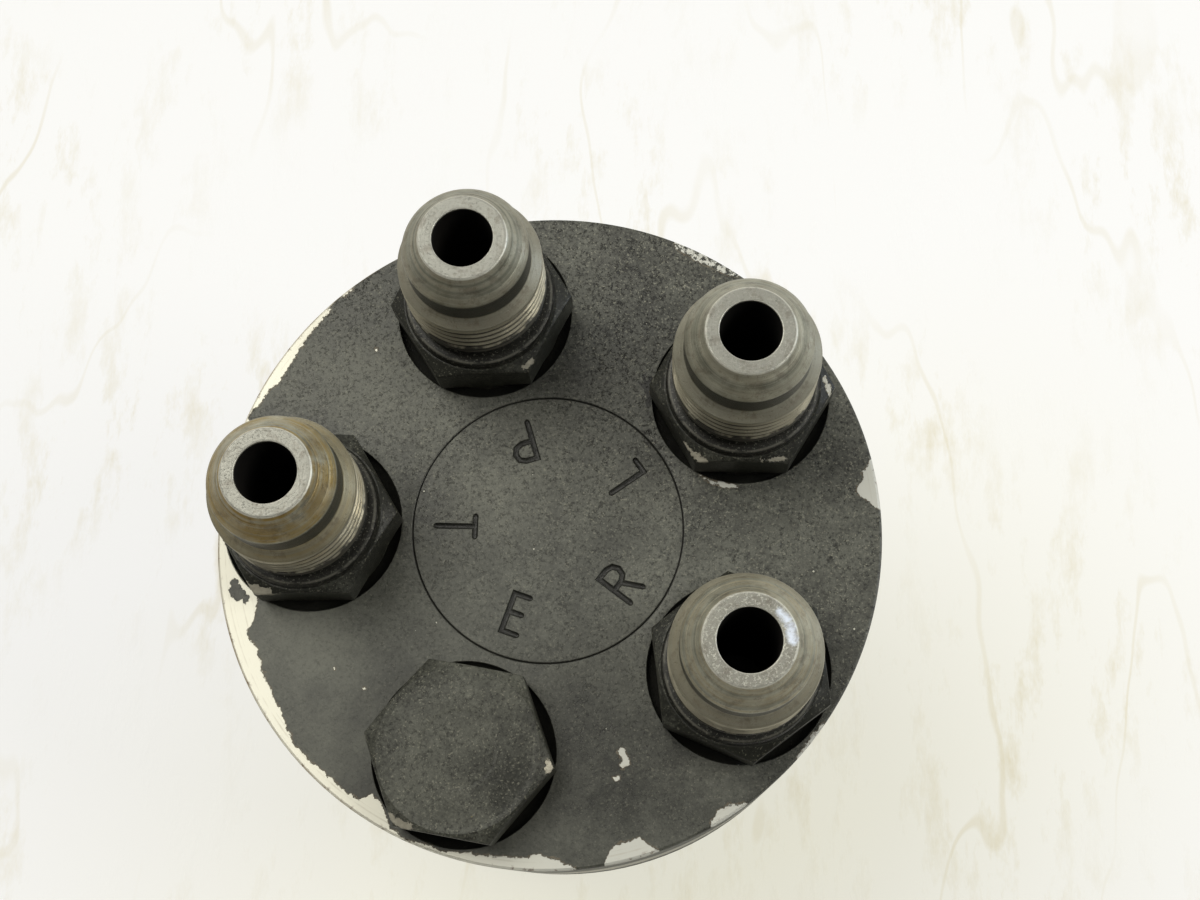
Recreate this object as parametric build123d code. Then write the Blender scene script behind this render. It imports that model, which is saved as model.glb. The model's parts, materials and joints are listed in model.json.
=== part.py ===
from build123d import *
import math
import os

# Orbital steering unit, all sizes in mm.
# +Z is the steering axis. z = 0 is the face that bolts to the steering column, the ports open upward.

# Outside of the unit
body_radius = 53.0
flange_radius = 50.0
neck_radius = 37.0
flange_thickness = 12.0
neck_length = 50.0
head_thickness = 12.0
plate_thickness = 4.0
ring_thickness = 14.0
cover_thickness = 20.0
edge_chamfer = 1.0
neck_fillet = 6.0

# Ports and their adapters: straight-thread ports, 37 degree flare ends
port_names = ["l", "p", "t", "plug", "r"]
port_edge_distance = 15.34
first_port_angle = 36.0
port_thread_radius = 10.65
port_depth = 16.0
spotface_radius = 14.2
spotface_depth = 1.5
seat_radius = 12.1
seat_depth = 2.4
groove_margin = 1.86
groove_width = 0.7
groove_depth = 0.4
hex_across_flats = 25.4
hex_height = 7.2
hex_chamfer_angle = 30.0
hex_turns = {"l": 0.0, "p": 4.0, "t": 2.0, "plug": 51.0, "r": 38.0}
washer_radius = 12.4
washer_height = 2.3
stud_length = 12.0
stud_chamfer = 1.0
undercut_radius = 9.3
undercut_height = 2.6
collar_radius = 12.0
collar_height = 1.6
collar_chamfer = 0.8
relief_radius = 10.0
relief_height = 4.1
thread_chamfer = 0.6
flare_thread_radius = 11.11
flare_thread_length = 9.3
nose_taper = 1.4
nose_radius = 9.5
nose_length = 4.6
flare_angle = 37.0
flare_length = 4.0
nose_bore_radius = 4.5
plug_swirl_depth = 0.3
plug_rim = 1.6
port_seal_edge = 0.5

# Clamp screws, put in from under the head
clamp_edge_distance = 8.5
clamp_radius = 4.0
clamp_head_radius = 6.5
clamp_head_height = 8.0
clamp_reach = 12.0
clamp_key = 6.0
clamp_pocket_length = 12.0
screw_end_room = 2.0
screw_end_chamfer = 0.6

# Steering column side
column_circle_radius = 41.275
column_count = 4
first_column_angle = 45.0
column_hole_radius = 3.97
pilot_radius = 22.0
pilot_depth = 3.0
flange_screw_circle = 29.0
flange_screw_count = 4
flange_screw_radius = 3.0
flange_screw_head_radius = 5.0
flange_screw_head_height = 6.0
flange_screw_reach = 10.0
flange_screw_key = 5.0

# Gerotor set: the ring has one lobe more than the rotor
ring_lobes = 7
lobe_circle_radius = 27.0
lobe_radius = 6.5
eccentricity = 2.7
rotor_clearance = 0.03
pocket_clearance = 0.4
metering_circle_radius = 23.8
metering_hole_radius = 1.6

# Valve: spool inside sleeve inside housing
sleeve_radius = 20.0
sleeve_wall = 4.48
spool_wall = 5.0
lead_angle = 10.0
bearing_shoulder = 25.0
race_thickness = 1.0
needle_radius = 1.5
needle_land = 1.25
needle_count = 12
cage_height = 2.0
cage_margin = 0.5
input_radius = 13.5
input_recess = 3.5
input_lead_in = 1.5
input_lead_in_step = 0.4
input_bore_length = 22.0
input_room = 0.7
input_minor_radius = 8.75
input_major_radius = 10.1
input_tooth_width = 2.4
web_thickness = 3.0
spring_lift = 1.0
spring_height = 6.0
spring_slot_width = 6.0
blade_thickness = 0.45
pin_radius = 4.0
pin_lift = 13.0
pin_chamfer = 0.6
pin_ring_depth = 1.3
pin_ring_width = 1.2
pin_ring_gap = 4.0
valve_groove_width = 2.0
valve_groove_depth = 1.0
valve_groove_pitch = 3.5
valve_hole_count = 3
first_metering_angle = 30.0
spool_slot_width = 2.4
spool_slot_depth = 0.8
gallery_radius = 2.2
gallery_mouth_radius = 0.8
gallery_bend_radius = 28.0
gallery_wall = 3.0
gallery_drop = 4.0
passage_radius = 3.0

# Drive shaft between the cross pin and the rotor
spline_teeth = 12
rotor_minor_radius = 8.8
rotor_major_radius = 10.6
rotor_groove_width = 2.7
spline_side_play = 0.3
spline_root_play = 0.5
spline_length = 7.0
shaft_fork_radius = 8.6
shaft_shank_radius = 6.0
shaft_fork_height = 9.0
shaft_fork_chamfer = 0.8
shaft_fork_lip = 0.6
shaft_shoulder = 3.0
shaft_slot_rise = 0.7
shaft_button_radius = 4.0
shaft_button_height = 0.3
spacer_thickness = 2.6

# Check valve
ball_radius = 3.0
ball_circle_radius = 30.0
ball_angle = 144.0
ball_lift = 1.5
ball_seat_height = 2.5
ball_seat_bore = 2.0

# Seals
seal_inset = 10.0
seal_width = 2.0
seal_height = 1.5
flange_seal_inner_radius = 22.4
flange_seal_width = 1.8
lip_seal_radius = 19.5
lip_seal_height = 5.8
lip_seal_wall = 1.2
lip_seal_floor = 2.0
lip_height = 4.6
lip_edge_height = 3.6
dust_seal_radius = 17.0
dust_seal_height = 2.2
dust_seal_face = 0.9
dust_lip_width = 0.8
dust_lip_edge = 0.5
dust_lip_back = 1.7

# Clearances
running = 0.02
loose = 0.05
hole_play = 0.3
end_play = 0.5

# Levels that follow from the sizes above
neck_base = flange_thickness
head_base = neck_base + neck_length
plate_base = head_base + head_thickness
ring_base = plate_base + plate_thickness
cover_base = ring_base + ring_thickness
port_face = cover_base + cover_thickness
port_step = 360 / len(port_names)
port_circle_radius = body_radius - port_edge_distance
clamp_circle_radius = body_radius - clamp_edge_distance
seal_inner_radius = clamp_circle_radius - seal_inset
groove_radius = port_circle_radius - spotface_radius - groove_margin
input_bore_radius = input_radius + input_room
needle_length = sleeve_radius - input_radius - 2 * needle_land
needle_level = bearing_shoulder + race_thickness + needle_radius
sleeve_base = bearing_shoulder + 2 * race_thickness + 2 * needle_radius + running
sleeve_inner_radius = sleeve_radius - sleeve_wall
spool_radius = sleeve_inner_radius - running
spool_bore_radius = spool_radius - spool_wall
valve_top = plate_base - end_play
spring_base = sleeve_base + spring_lift
pin_level = sleeve_base + pin_lift
rotor_level = ring_base + ring_thickness / 2
shaft_reach = rotor_level - pin_level
shaft_tilt = math.degrees(math.atan2(eccentricity, shaft_reach))
metering_level = plate_base - 2 * valve_groove_pitch
bottom = (Align.CENTER, Align.CENTER, Align.MIN)
hanging = (Align.CENTER, Align.CENTER, Align.MAX)


def rod(radius, low, high, x=0.0, y=0.0):
    return Pos(x, y, low) * Cylinder(radius, high - low, align=bottom)


def tube(outer, inner, low, high, x=0.0, y=0.0):
    return rod(outer, low, high, x, y) - rod(inner, low, high, x, y)


def around(radius, degrees):
    angle = math.radians(degrees)
    return radius * math.cos(angle), radius * math.sin(angle)


def steps(count, first=0.0):
    return [first + 360 * k / count for k in range(count)]


def turned(points):
    """Solid of revolution about Z from (radius, height) points."""
    face = make_face(Polyline([(r, 0, z) for r, z in points], close=True))
    return revolve(face, Axis.Z)


def cylinder_between(start, end, radius):
    line = Vector(*end) - Vector(*start)
    return Plane(origin=start, z_dir=line) * Cylinder(radius, line.length, align=bottom)


def port_angle(name):
    return first_port_angle + port_step * port_names.index(name)


def clamp_angles():
    return steps(len(port_names))


def splined(root, tip, width, count):
    """Round bar with straight-sided teeth, as a sketch."""
    profile = Circle(root)
    for angle in steps(count):
        profile += Rot(0, 0, angle) * Pos(tip / 2, 0) * Rectangle(tip, width)
    return profile & Circle(tip)


def hexagon(across_flats, turn=0.0):
    return Rot(0, 0, turn) * RegularPolygon(across_flats / math.sqrt(3), 6)


# Port side

def make_port_cover():
    cover = chamfer(rod(body_radius, cover_base, port_face).edges().sort_by(Axis.Z)[-1], edge_chamfer)
    cover -= tube(groove_radius + groove_width / 2, groove_radius - groove_width / 2,
                  port_face - groove_depth, port_face)
    cover -= tube(seal_inner_radius + seal_width, seal_inner_radius, cover_base, cover_base + seal_height)
    seat = port_face - spotface_depth
    for name in port_names:
        x, y = around(port_circle_radius, port_angle(name))
        cover -= rod(spotface_radius, seat, port_face, x, y)
        cover -= rod(port_thread_radius + loose, port_face - port_depth, seat, x, y)
        cone_end = seat - seat_depth
        cover -= Pos(x, y, 0) * turned([(0, seat), (seat_radius, seat), (port_thread_radius, cone_end),
                                        (0, cone_end)])
        x, y = around(clamp_circle_radius, port_angle(name))
        cover -= rod(passage_radius, cover_base, port_face - port_depth + loose, x, y)
    for angle in clamp_angles():
        x, y = around(clamp_circle_radius, angle)
        cover -= rod(clamp_radius + loose, cover_base, cover_base + clamp_reach + screw_end_room, x, y)
    return cover


def hex_collar(low, turn):
    """Hexagon with its upper corners turned off at 30 degrees."""
    high = low + hex_height
    corner = hex_across_flats / math.sqrt(3) + running
    drop = (corner - washer_radius) * math.tan(math.radians(hex_chamfer_angle))
    round_off = turned([(0, low), (corner, low), (corner, high - drop), (washer_radius, high), (0, high)])
    return extrude(Pos(0, 0, low) * hexagon(hex_across_flats, turn), hex_height) & round_off


def port_stud():
    """Threaded end and washer face, measured from the port's seat."""
    r = port_thread_radius
    return turned([(0, -stud_length), (r - stud_chamfer, -stud_length), (r, stud_chamfer - stud_length),
                   (r, -undercut_height),
                   (undercut_radius, -undercut_height), (undercut_radius, 0), (washer_radius, 0),
                   (washer_radius, washer_height), (0, washer_height)])


def flare_end():
    """Collar, relief, thread and flared nose above the hexagon."""
    low = washer_height + hex_height
    collar = low + collar_height
    thread = collar + relief_height
    thread_end = thread + flare_thread_length
    taper = thread_end + nose_taper
    nose = taper + nose_length
    tip = nose + flare_length
    tip_radius = nose_radius - flare_length * math.tan(math.radians(flare_angle))
    return turned([(0, low), (collar_radius, low), (collar_radius, collar - collar_chamfer),
                   (collar_radius - collar_chamfer, collar), (relief_radius, collar),
                   (relief_radius, thread - thread_chamfer), (flare_thread_radius - thread_chamfer, thread),
                   (flare_thread_radius, thread + thread_chamfer), (flare_thread_radius, thread_end),
                   (nose_radius, taper), (nose_radius, nose), (tip_radius, tip), (0, tip)])


def make_fitting(name):
    fitting = port_stud() + hex_collar(washer_height, hex_turns[name]) + flare_end()
    fitting -= rod(nose_bore_radius, -stud_length, port_face)
    x, y = around(port_circle_radius, port_angle(name))
    return Pos(x, y, port_face - spotface_depth) * fitting


def make_plug():
    plug = port_stud() + hex_collar(washer_height, hex_turns["plug"])
    top = washer_height + hex_height
    plug -= rod(washer_radius - plug_rim, top - plug_swirl_depth, top)
    x, y = around(port_circle_radius, port_angle("plug"))
    return Pos(x, y, port_face - spotface_depth) * plug


def make_port_seal(name):
    """O-ring squeezed between the cone seat and the undercut."""
    top = port_face - spotface_depth
    inner = undercut_radius + loose
    edge = port_seal_edge
    slope = (seat_radius - port_thread_radius) / seat_depth
    outer = seat_radius - 2 * loose
    low = seat_depth - edge
    ring = turned([(inner, -edge), (inner + edge, -loose), (outer - edge, -loose),
                   (outer - slope * edge, -edge), (outer - slope * low, -low),
                   (inner + edge, -seat_depth), (inner, -low)])
    x, y = around(port_circle_radius, port_angle(name))
    return Pos(x, y, top) * ring


# Clamped stack

def drilled_disc(low, high):
    """Plain disc of the stack with its clamp holes and oil passages."""
    disc = rod(body_radius, low, high)
    for angle in clamp_angles():
        disc -= rod(clamp_radius + hole_play, low, high, *around(clamp_circle_radius, angle))
    for name in port_names:
        disc -= rod(passage_radius, low, high, *around(clamp_circle_radius, port_angle(name)))
    return disc


def make_rotor_ring():
    opening = Circle(lobe_circle_radius - lobe_radius + 2 * eccentricity + pocket_clearance)
    for angle in steps(ring_lobes):
        opening -= Pos(*around(lobe_circle_radius, angle)) * Circle(lobe_radius)
    return drilled_disc(ring_base, cover_base) - extrude(Pos(0, 0, ring_base) * opening, ring_thickness)


def metering_points():
    return [around(metering_circle_radius, angle) for angle in steps(ring_lobes, 180 / ring_lobes)]


def make_wear_plate():
    plate = drilled_disc(plate_base, ring_base)
    plate -= rod(rotor_minor_radius + eccentricity, plate_base, ring_base)
    for x, y in metering_points():
        plate -= rod(metering_hole_radius, plate_base, ring_base, x, y)
    return plate - tube(seal_inner_radius + seal_width, seal_inner_radius, ring_base - seal_height, ring_base)


def valve_groove_level(name):
    order = ["p", "r", "l", "t", "plug"]
    return metering_level - valve_groove_pitch * (order.index(name) + 1)


def gallery_points(name):
    angle = port_angle(name)
    level = valve_groove_level(name)
    start = (*around(clamp_circle_radius, angle), plate_base - gallery_drop)
    bend = (*around(gallery_bend_radius, angle), level)
    end = (*around(sleeve_inner_radius, angle), level)
    return start, bend, end


def make_valve_housing():
    body = rod(neck_radius, neck_base, head_base + edge_chamfer) + rod(body_radius, head_base, plate_base)
    corner = body.edges().filter_by(GeomType.CIRCLE).filter_by_position(Axis.Z, head_base, head_base)
    body = fillet(corner.sort_by(SortBy.RADIUS)[0], neck_fillet)
    room = rod(body_radius, neck_base, plate_base)
    for name in port_names:
        start, bend, end = gallery_points(name)
        body += cylinder_between(start, bend, gallery_radius + gallery_wall) & room
    body -= rod(sleeve_radius + running, bearing_shoulder, plate_base)
    body -= rod(input_bore_radius, neck_base, bearing_shoulder)
    for name in port_names:
        start, bend, end = gallery_points(name)
        body -= rod(passage_radius, start[2], plate_base, start[0], start[1])
        body -= cylinder_between(start, bend, gallery_radius)
        body -= cylinder_between(bend, end, gallery_mouth_radius)
        level = valve_groove_level(name)
        body -= rod(sleeve_radius + valve_groove_depth, level - valve_groove_width / 2,
                    level + valve_groove_width / 2)
    for x, y in metering_points():
        body -= rod(metering_hole_radius, metering_level, plate_base, x, y)
        body -= cylinder_between((x, y, metering_level), (0, 0, metering_level), metering_hole_radius)
    for angle in clamp_angles():
        x, y = around(clamp_circle_radius, angle)
        body -= rod(clamp_radius + hole_play, head_base, plate_base, x, y)
        body -= rod(clamp_head_radius + 2 * hole_play, head_base - clamp_pocket_length, head_base, x, y)
    for angle in steps(flange_screw_count):
        x, y = around(flange_screw_circle, angle)
        hole_end = neck_base + flange_screw_reach + screw_end_room
        body -= rod(flange_screw_radius + loose, neck_base, hole_end, x, y)
    x, y = around(ball_circle_radius, ball_angle)
    seat = check_seat_top()
    body -= rod(ball_radius + hole_play, seat - ball_seat_height, plate_base, x, y)
    body -= rod(ball_seat_bore, valve_groove_level("p"), seat, x, y)
    return body


def check_seat_top():
    lift = math.sqrt(ball_radius ** 2 - ball_seat_bore ** 2)
    return plate_base - lift - ball_radius - ball_lift - end_play


def make_check_seat():
    x, y = around(ball_circle_radius, ball_angle)
    top = check_seat_top()
    return tube(ball_radius + hole_play - running, ball_seat_bore, top - ball_seat_height, top, x, y)


def make_check_ball():
    x, y = around(ball_circle_radius, ball_angle)
    lift = math.sqrt(ball_radius ** 2 - ball_seat_bore ** 2)
    return Pos(x, y, check_seat_top() + lift + loose) * Sphere(ball_radius)


def socket_screw(radius, head_radius, head_height, key, length):
    """Head down at z = 0 to head_height, shank upward from there."""
    screw = rod(head_radius, 0, head_height) + rod(radius, head_height, head_height + length)
    screw = chamfer(screw.edges().sort_by(Axis.Z)[-1], screw_end_chamfer)
    screw = chamfer(screw.edges().sort_by(Axis.Z)[0], screw_end_chamfer)
    return screw - extrude(hexagon(key), head_height / 2)


def make_clamp_screws():
    length = cover_base + clamp_reach - head_base
    screw = socket_screw(clamp_radius, clamp_head_radius, clamp_head_height, clamp_key, length)
    return [Pos(*around(clamp_circle_radius, angle), head_base - clamp_head_height) * screw
            for angle in clamp_angles()]


# Column side

def make_mounting_flange():
    flange = rod(flange_radius, 0, flange_thickness)
    flange = chamfer(flange.edges().filter_by(GeomType.CIRCLE), edge_chamfer)
    flange -= rod(pilot_radius, 0, pilot_depth)
    flange -= rod(dust_seal_radius, 0, pilot_depth + dust_seal_height)
    flange -= rod(input_bore_radius, 0, flange_thickness)
    flange -= rod(lip_seal_radius, flange_thickness - lip_seal_height, flange_thickness)
    flange -= tube(flange_seal_inner_radius + flange_seal_width, flange_seal_inner_radius,
                   flange_thickness - seal_height, flange_thickness)
    for angle in steps(column_count, first_column_angle):
        flange -= rod(column_hole_radius, 0, flange_thickness, *around(column_circle_radius, angle))
    for angle in steps(flange_screw_count):
        x, y = around(flange_screw_circle, angle)
        flange -= rod(flange_screw_radius + hole_play, 0, flange_thickness, x, y)
        flange -= rod(flange_screw_head_radius + hole_play, 0, flange_screw_head_height + end_play, x, y)
    return flange


def make_flange_screws():
    length = flange_thickness - flange_screw_head_height - end_play + flange_screw_reach
    screw = socket_screw(flange_screw_radius, flange_screw_head_radius, flange_screw_head_height,
                         flange_screw_key, length)
    return [Pos(*around(flange_screw_circle, angle), end_play) * screw
            for angle in steps(flange_screw_count)]


def make_shaft_seal():
    low = flange_thickness - lip_seal_height
    inner = input_radius + loose
    outer = lip_seal_radius - running
    high = flange_thickness - running
    return turned([(inner + lip_seal_wall, low + running), (outer, low + running), (outer, high),
                   (outer - lip_seal_wall, high), (outer - lip_seal_wall, low + lip_seal_floor),
                   (inner + 2 * lip_seal_wall, low + lip_seal_floor),
                   (inner + lip_seal_wall, low + lip_height), (inner, low + lip_edge_height)])


def make_dust_seal():
    inner = input_radius + loose
    outer = dust_seal_radius - running
    low = pilot_depth + dust_seal_face
    high = pilot_depth + dust_seal_height - running
    wall = inner + dust_lip_width
    return turned([(wall, low), (outer, low), (outer, high), (wall, high),
                   (wall, pilot_depth + dust_lip_back), (inner, pilot_depth),
                   (inner + dust_lip_edge, pilot_depth)])


# Valve train

def make_race(low):
    return tube(sleeve_radius - cage_margin, input_radius + cage_margin, low, low + race_thickness)


def needle_at(angle):
    inner = input_radius + needle_land
    return cylinder_between((*around(inner, angle), needle_level),
                            (*around(inner + needle_length, angle), needle_level), needle_radius - running)


def make_bearing_cage():
    cage = tube(sleeve_radius - cage_margin, input_radius + cage_margin, needle_level - cage_height / 2,
                needle_level + cage_height / 2)
    centre = (sleeve_radius + input_radius) / 2
    for angle in steps(needle_count):
        pocket = Box(needle_length + 4 * loose, 2 * needle_radius + loose, 2 * cage_height)
        cage -= Rot(0, 0, angle) * Pos(centre, 0, needle_level) * pocket
    return cage


def make_sleeve():
    sleeve = tube(sleeve_radius, sleeve_inner_radius, sleeve_base, valve_top)
    across = 3 * sleeve_radius
    sleeve -= Pos(0, 0, pin_level) * Rot(0, 90, 0) * Cylinder(pin_radius + running, across)
    sleeve -= Pos(0, 0, spring_base) * Box(spring_slot_width, across, spring_height + 2 * loose, align=bottom)
    half = pin_ring_width / 2 + loose
    sleeve -= tube(across, sleeve_radius - pin_ring_depth, pin_level - half, pin_level + half)
    for name in port_names[:-1]:
        for angle in steps(valve_hole_count, port_angle(name)):
            level = valve_groove_level(name)
            sleeve -= cylinder_between((0, 0, level), (*around(across, angle), level), gallery_mouth_radius)
    for angle in steps(ring_lobes - 1, first_metering_angle):
        sleeve -= cylinder_between((0, 0, metering_level), (*around(across, angle), metering_level),
                                   metering_hole_radius)
    return sleeve


def make_cross_pin():
    reach = math.sqrt((sleeve_radius - pin_ring_depth) ** 2 - pin_radius ** 2) - loose
    pin = chamfer(Cylinder(pin_radius, 2 * reach).edges().filter_by(GeomType.CIRCLE), pin_chamfer)
    return Pos(0, 0, pin_level) * Rot(0, 90, 0) * pin


def make_pin_ring():
    half = pin_ring_width / 2
    inner = sleeve_radius - pin_ring_depth + running
    ring = tube(sleeve_radius - loose, inner, pin_level - half, pin_level + half)
    return ring - Pos(0, sleeve_radius, pin_level) * Box(pin_ring_gap, pin_ring_gap, pin_ring_gap)


def spring_blade(side, order, bowed):
    """One blade across the valve, from slot to slot along Y."""
    reach = sleeve_radius - cage_margin
    gap = blade_thickness + running
    inner = side * order * gap + side * running / 2
    end = inner + side * (spring_slot_width / 2 - 3 * gap) * bowed
    thick = side * blade_thickness
    if bowed:
        edge = ThreePointArc((end, -reach), (inner, 0), (end, reach))
        back = ThreePointArc((end + thick, reach), (inner + thick, 0), (end + thick, -reach))
    else:
        edge = Line((end, -reach), (end, reach))
        back = Line((end + thick, reach), (end + thick, -reach))
    face = make_face([edge, Line(edge @ 1, back @ 0), back, Line(back @ 1, edge @ 0)])
    return extrude(Pos(0, 0, spring_base + loose) * face, spring_height, dir=(0, 0, 1))


def make_centring_springs():
    return [spring_blade(side, order, order > 0) for side in (1, -1) for order in range(3)]


def make_spool():
    stub_top = sleeve_base + 2 * running
    spool = rod(input_radius, input_recess, stub_top) + rod(spool_radius, stub_top, valve_top)
    socket = splined(input_minor_radius, input_major_radius, input_tooth_width, spline_teeth)
    spool -= extrude(Pos(0, 0, input_recess) * socket, input_bore_length)
    spool -= rod(input_major_radius + input_lead_in_step, input_recess, input_recess + input_lead_in)
    spool -= rod(spool_bore_radius, input_recess + input_bore_length + web_thickness, valve_top)
    across = 3 * spool_radius
    lead = math.radians(lead_angle)
    window = 2 * (pin_radius / math.cos(lead) + spool_radius * math.tan(lead) + 2 * loose)
    spool -= Pos(0, 0, pin_level) * Box(across, window, 2 * pin_radius + 4 * loose)
    spool -= Pos(0, 0, spring_base) * Box(spring_slot_width, across, spring_height + 2 * loose, align=bottom)
    low = valve_groove_level("t")
    for angle in steps(ring_lobes - 1):
        slot = Box(2 * spool_slot_depth, spool_slot_width, metering_level - low, align=bottom)
        spool -= Rot(0, 0, angle) * Pos(spool_radius, 0, low) * slot
    return spool


def make_drive_shaft():
    """Upright about the pin centre, then tilted towards the rotor's centre."""
    root = rotor_minor_radius - spline_root_play
    head = shaft_reach - spline_length / 2
    top = shaft_reach + spline_length / 2
    foot = pin_radius + shaft_fork_lip
    tip = top + shaft_button_height
    shaft = turned([(0, -foot), (shaft_fork_radius - shaft_fork_chamfer, -foot),
                    (shaft_fork_radius, shaft_fork_chamfer - foot), (shaft_fork_radius, shaft_fork_height),
                    (shaft_shank_radius, shaft_fork_height + shaft_shoulder),
                    (shaft_shank_radius, head - shaft_shoulder), (root, head), (root, top),
                    (shaft_button_radius, tip), (0, tip)])
    teeth = splined(root, rotor_major_radius - spline_root_play, rotor_groove_width - 2 * spline_side_play,
                    spline_teeth)
    shaft += extrude(Pos(0, 0, head) * teeth, spline_length)
    rise = Pos(0, 0, shaft_slot_rise)
    gap = 2 * (pin_radius + 1.5 * loose)
    shaft -= rise * Box(3 * shaft_fork_radius, gap, foot + shaft_slot_rise, align=hanging)
    shaft -= rise * Rot(0, 90, 0) * Cylinder(gap / 2, 3 * shaft_fork_radius)
    return Pos(0, 0, pin_level) * Rot(0, shaft_tilt, 0) * shaft


def rotor_outline():
    """Path of a lobe centre seen from the rotor, moved inward by the lobe's radius."""
    points = []
    inward = lobe_radius + rotor_clearance
    count = 24 * (ring_lobes - 1)
    for k in range(count):
        t = 2 * math.pi * k / count
        x = lobe_circle_radius * math.cos(t) - eccentricity * math.cos(ring_lobes * t)
        y = lobe_circle_radius * math.sin(t) - eccentricity * math.sin(ring_lobes * t)
        dx = -lobe_circle_radius * math.sin(t) + ring_lobes * eccentricity * math.sin(ring_lobes * t)
        dy = lobe_circle_radius * math.cos(t) - ring_lobes * eccentricity * math.cos(ring_lobes * t)
        size = math.hypot(dx, dy)
        points.append((x - inward * dy / size, y + inward * dx / size))
    return make_face(Spline(points, periodic=True))


def make_rotor():
    thickness = ring_thickness - 2 * running
    grooves = splined(rotor_minor_radius, rotor_major_radius, rotor_groove_width, spline_teeth)
    rotor = extrude(rotor_outline() - grooves, thickness, dir=(0, 0, 1))
    return Pos(eccentricity, 0, ring_base + running) * rotor


def make_drive_spacer():
    high = cover_base - 2 * loose
    return rod(rotor_minor_radius - 3 * loose, high - spacer_thickness, high, eccentricity, 0)


def seal_ring(inner, width, low):
    return tube(inner + width - running, inner + running, low + running, low + seal_height - running)


nodes = {
    "port_cover": make_port_cover(),
    "port_plug": make_plug(),
    "rotor_ring": make_rotor_ring(),
    "wear_plate": make_wear_plate(),
    "valve_housing": make_valve_housing(),
    "mounting_flange": make_mounting_flange(),
    "clamp_screws": make_clamp_screws(),
    "flange_screws": make_flange_screws(),
    "cover_seal": seal_ring(seal_inner_radius, seal_width, cover_base),
    "plate_seal": seal_ring(seal_inner_radius, seal_width, ring_base - seal_height),
    "flange_seal": seal_ring(flange_seal_inner_radius, flange_seal_width, flange_thickness - seal_height),
    "shaft_seal": make_shaft_seal(),
    "dust_seal": make_dust_seal(),
    "bearing_race_lower": make_race(bearing_shoulder),
    "bearing_cage": make_bearing_cage(),
    "bearing_needles": [needle_at(angle) for angle in steps(needle_count)],
    "bearing_race_upper": make_race(bearing_shoulder + race_thickness + 2 * needle_radius),
    "valve_sleeve": make_sleeve(),
    "cross_pin": make_cross_pin(),
    "pin_ring": make_pin_ring(),
    "centring_springs": make_centring_springs(),
    "valve_spool": make_spool(),
    "drive_shaft": make_drive_shaft(),
    "rotor": make_rotor(),
    "drive_spacer": make_drive_spacer(),
    "check_seat": make_check_seat(),
    "check_ball": make_check_ball(),
}
for name in port_names:
    nodes["port_seal_" + name] = make_port_seal(name)
    if name != "plug":
        nodes["port_fitting_" + name] = make_fitting(name)

os.makedirs("parts", exist_ok=True)
for name, shape in nodes.items():
    part = Compound(children=shape) if isinstance(shape, list) else shape
    export_step(part, f"parts/{name}.step")
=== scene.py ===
import json
import math

import bmesh
import bpy
from mathutils import Euler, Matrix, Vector


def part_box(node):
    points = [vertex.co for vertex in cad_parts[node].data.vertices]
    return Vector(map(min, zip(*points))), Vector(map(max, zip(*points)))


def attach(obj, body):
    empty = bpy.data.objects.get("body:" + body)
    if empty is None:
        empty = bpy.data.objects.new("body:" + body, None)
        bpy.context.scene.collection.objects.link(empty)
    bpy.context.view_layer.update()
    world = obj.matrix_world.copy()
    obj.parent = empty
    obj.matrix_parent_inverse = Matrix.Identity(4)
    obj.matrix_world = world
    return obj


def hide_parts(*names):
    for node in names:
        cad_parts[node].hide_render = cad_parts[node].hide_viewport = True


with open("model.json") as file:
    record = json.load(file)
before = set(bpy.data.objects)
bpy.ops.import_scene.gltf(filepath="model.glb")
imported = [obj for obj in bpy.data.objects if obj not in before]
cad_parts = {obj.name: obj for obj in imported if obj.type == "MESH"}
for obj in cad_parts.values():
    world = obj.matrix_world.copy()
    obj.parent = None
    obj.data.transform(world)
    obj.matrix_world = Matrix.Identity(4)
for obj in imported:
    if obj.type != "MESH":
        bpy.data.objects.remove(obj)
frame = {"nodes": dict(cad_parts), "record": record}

mm = 0.001
scene = bpy.context.scene
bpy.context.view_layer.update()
coverLow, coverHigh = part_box("port_cover")
portFace = coverHigh.z / mm  # mm
bodyRadius = (coverHigh.x - coverLow.x) / 2 / mm

layout = {
    "ports": ["l", "p", "t", "plug", "r"],  # anticlockwise
    "circleRadius": 37.66,
    "firstAngle": 36.0,
    "stepAngle": 72.0,
    "hexTurn": {"l": 0.0, "p": 4.0, "t": 2.0, "plug": 51.0, "r": 38.0},
}
meshLook = {"weldGap": 1e-7, "sharpAngle": 32, "cutSharpAngle": 25, "softSharpAngle": 35}


def portCentre(name, height=0.0):
    angle = math.radians(layout["firstAngle"] + layout["stepAngle"] * layout["ports"].index(name))
    outward = Vector((math.cos(angle), math.sin(angle), 0))
    return outward * layout["circleRadius"] + Vector((0, 0, height))


def addObject(name, data):
    obj = bpy.data.objects.new(name, data)
    scene.collection.objects.link(obj)
    return obj


def makeObject(name, verts, faces, slots=None, place=(0, 0, 0), turn=0.0):
    mesh = bpy.data.meshes.new(name)
    mesh.from_pydata([[c * mm for c in v] for v in verts], [], faces)
    if slots:
        mesh.polygons.foreach_set("material_index", slots)
    obj = addObject(name, mesh)
    obj.location = Vector(place) * mm
    obj.rotation_euler.z = turn
    return obj


def cleanMesh(obj, sharpAngle=meshLook["sharpAngle"]):
    bm = bmesh.new()
    bm.from_mesh(obj.data)
    bmesh.ops.remove_doubles(bm, verts=bm.verts, dist=meshLook["weldGap"])
    bmesh.ops.recalc_face_normals(bm, faces=bm.faces)
    bm.to_mesh(obj.data)
    bm.free()
    obj.data.polygons.foreach_set("use_smooth", [True] * len(obj.data.polygons))
    obj.data.set_sharp_from_angle(angle=math.radians(sharpAngle))
    obj.modifiers.new("weightedNormals", "WEIGHTED_NORMAL").keep_sharp = True
    return obj


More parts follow.
